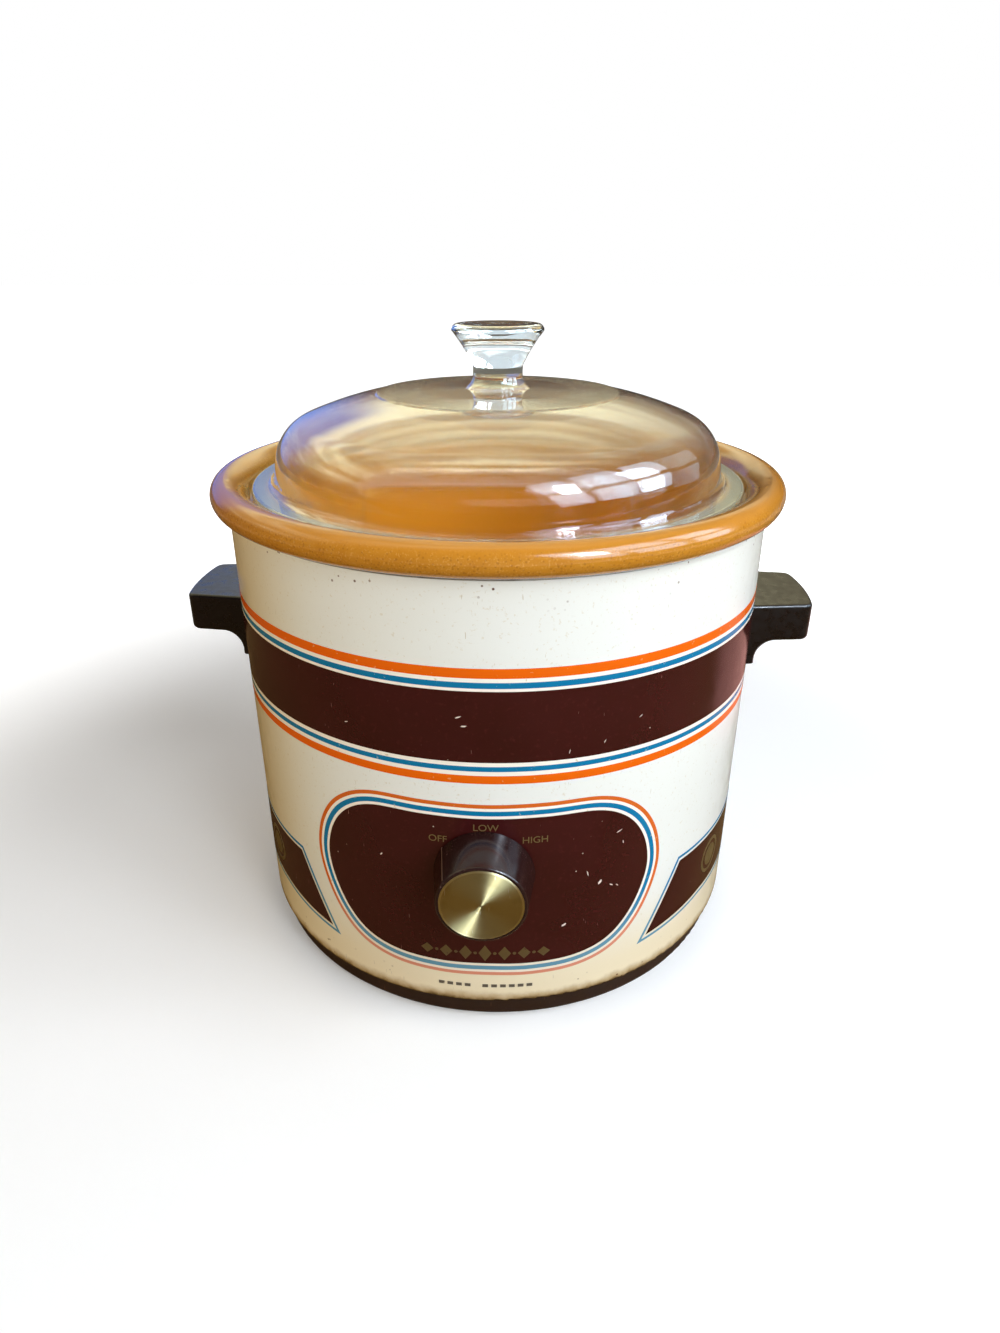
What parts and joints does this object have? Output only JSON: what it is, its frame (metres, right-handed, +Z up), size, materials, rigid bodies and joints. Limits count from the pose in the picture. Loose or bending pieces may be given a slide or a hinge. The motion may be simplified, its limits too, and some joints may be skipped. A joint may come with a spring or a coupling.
{
  "type": "slow cooker",
  "caption": "Round countertop slow cooker: striped enamelled heating base with side handles and a heat dial, lift-out stoneware crock and pressed-glass lid.",
  "frame": {"origin": "on the pot's vertical axis, at the floor plane that the rubber feet rest on", "axes": "+Z up along the pot's axis, -Y towards the user (the dial side), +X to the user's right through the right handle"},
  "size_m": [0.27, 0.2446, 0.257],
  "materials": {
    "enamel": "baked enamel, lightly scratched",
    "base_moulding": "moulded phenolic, semi-gloss",
    "rubber": "matte",
    "liner_aluminium": "spun",
    "zinc_steel": "zinc plated",
    "spring_steel": "oiled",
    "heater_wrap": "woven glass-fibre wrap",
    "brass": "spun, worn lacquer",
    "switch_phenolic": "moulded phenolic",
    "handle_phenolic": "moulded phenolic, satin",
    "fibre": "pressed fibre",
    "knob_phenolic": "moulded phenolic, gloss",
    "lead_insulation": "silicone and glass braid",
    "stoneware_glaze": "amber glaze, gloss",
    "clear_glass": "pressed clear glass"
  },
  "bodies": {
    "housing": {"outer_shell": "enamel", "base_pan": "base_moulding", "rubber_feet": "rubber", "heating_well": "liner_aluminium", "well_stud": "zinc_steel", "well_washer": "zinc_steel", "well_nut": "zinc_steel", "tie_cap": "rubber", "heater_band": "heater_wrap", "heater_tabs": "brass", "heater_clamp": "zinc_steel", "heater_clamp_screw": "zinc_steel", "heater_clamp_nut": "zinc_steel", "switch_case": "switch_phenolic", "switch_cover": "switch_phenolic", "switch_contacts": "brass", "detent_spring": "spring_steel", "switch_bushing": "brass", "switch_nut": "zinc_steel", "handle_right": "handle_phenolic", "handle_left": "handle_phenolic", "handle_screws": "zinc_steel", "handle_saddles": "fibre", "cord_bushing": "rubber", "cord_bushing_ring": "zinc_steel", "terminal_block": "switch_phenolic", "terminal_screws": "zinc_steel", "terminal_rivets": "zinc_steel", "lead_line": "lead_insulation", "lead_low": "lead_insulation", "lead_high": "lead_insulation", "lead_neutral": "lead_insulation"},
    "knob": {"switch_shaft": "zinc_steel", "switch_rotor": "switch_phenolic", "knob_skirt": "knob_phenolic", "knob_disc": "brass", "knob_clip": "spring_steel"},
    "crock": {"crock": "stoneware_glaze"},
    "lid": {"glass_lid": "clear_glass"}
  },
  "joints": [
    {"name": "knob_turn", "type": "hinge", "parent": "housing", "child": "knob", "pos_m": [0, -0.11, 0.0766], "axis": [0, 1, 0], "range_deg": [0, 110]},
    {"name": "crock_lift", "type": "slide", "parent": "housing", "child": "crock", "axis": [0, 0, 1], "range_m": [0, 0.14]},
    {"name": "lid_lift", "type": "slide", "parent": "crock", "child": "lid", "axis": [0, 0, 1], "range_m": [0, 0.08]}
  ]
}
